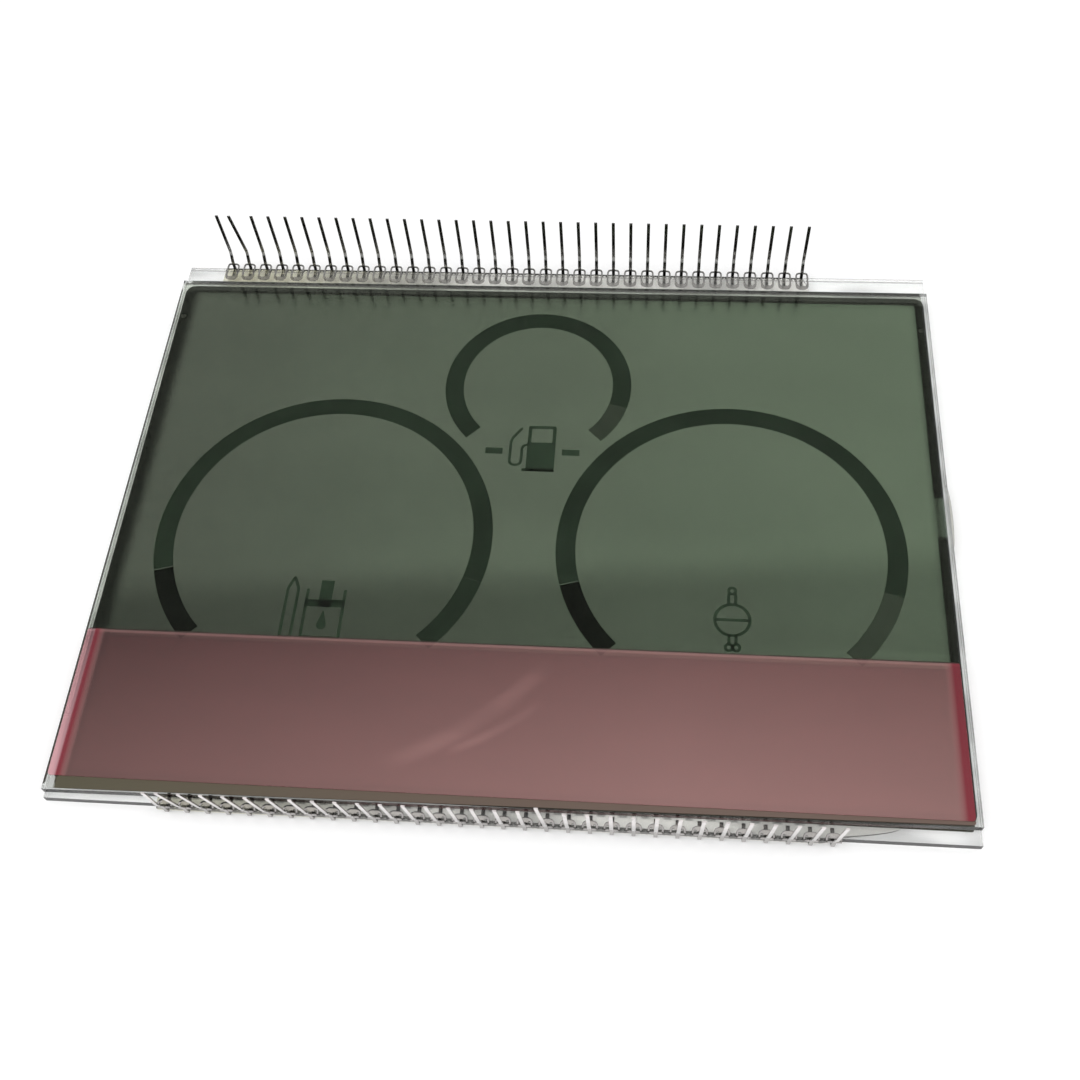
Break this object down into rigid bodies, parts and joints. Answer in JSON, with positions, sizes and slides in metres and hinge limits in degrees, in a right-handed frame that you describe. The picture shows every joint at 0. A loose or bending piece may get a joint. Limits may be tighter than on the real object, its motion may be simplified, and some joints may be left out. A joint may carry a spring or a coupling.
{
  "type": "lcd screen",
  "caption": "Segment LCD glass panel with arc gauge bands, small pictograms, a red film strip and clip-on pins along both long edges.",
  "frame": {"origin": "centre of the panel's viewing face, on the front polariser's outer face", "axes": "+X along the pin rows, to the right as seen from the rear with the wide ledge at the top; +Y towards the edge with the wide ledge; +Z out of the rear, the way the pins stand"},
  "size_m": [0.1111, 0.0888, 0.0115],
  "materials": {
    "front_glass": "clear soda-lime glass with ground edges",
    "rear_glass": "clear soda-lime glass with ground edges",
    "front_polariser": "neutral grey-green polarising film",
    "rear_polariser": "neutral grey-green polarising film, satin",
    "red_film": "translucent red colour film",
    "seal": "dark epoxy seal line",
    "transfer_dots": "silver-filled conductive adhesive",
    "end_seal": "clear cured resin drop",
    "liquid_crystal": "clear liquid layer",
    "resin": "clear cured resin, slightly yellow",
    "pictograms": "segments seen dark through the polariser",
    "dashes": "segments seen dark through the polariser",
    "gauge_bands": "segments seen dark through the polariser",
    "low_segments": "segments seen dark through the polariser",
    "tinned_pins": "tin-plated phosphor bronze, satin"
  },
  "bodies": {
    "root": {"drop_pictogram": "pictograms", "end_seal": "end_seal", "float_pictogram": "pictograms", "front_glass": "front_glass", "front_polariser": "front_polariser", "fuel_gauge_band": "gauge_bands", "fuel_gauge_low_right": "low_segments", "left_dash": "dashes", "left_gauge_band": "gauge_bands", "left_gauge_low_left": "low_segments", "left_gauge_low_right": "low_segments", "liquid_crystal": "liquid_crystal", "lower_pin_bent": "tinned_pins", "lower_pins_left": "tinned_pins", "lower_pins_right": "tinned_pins", "lower_resin": "resin", "probe_pictogram": "pictograms", "pump_pictogram": "pictograms", "rear_glass": "rear_glass", "rear_polariser": "rear_polariser", "red_film": "red_film", "right_dash": "dashes", "right_gauge_band": "gauge_bands", "right_gauge_low_left": "low_segments", "right_gauge_low_right": "low_segments", "seal_frame": "seal", "tank_pictogram": "pictograms", "transfer_dots": "transfer_dots", "upper_pin_first": "tinned_pins", "upper_pin_second": "tinned_pins", "upper_pins": "tinned_pins", "upper_resin": "resin"}
  },
  "joints": []
}
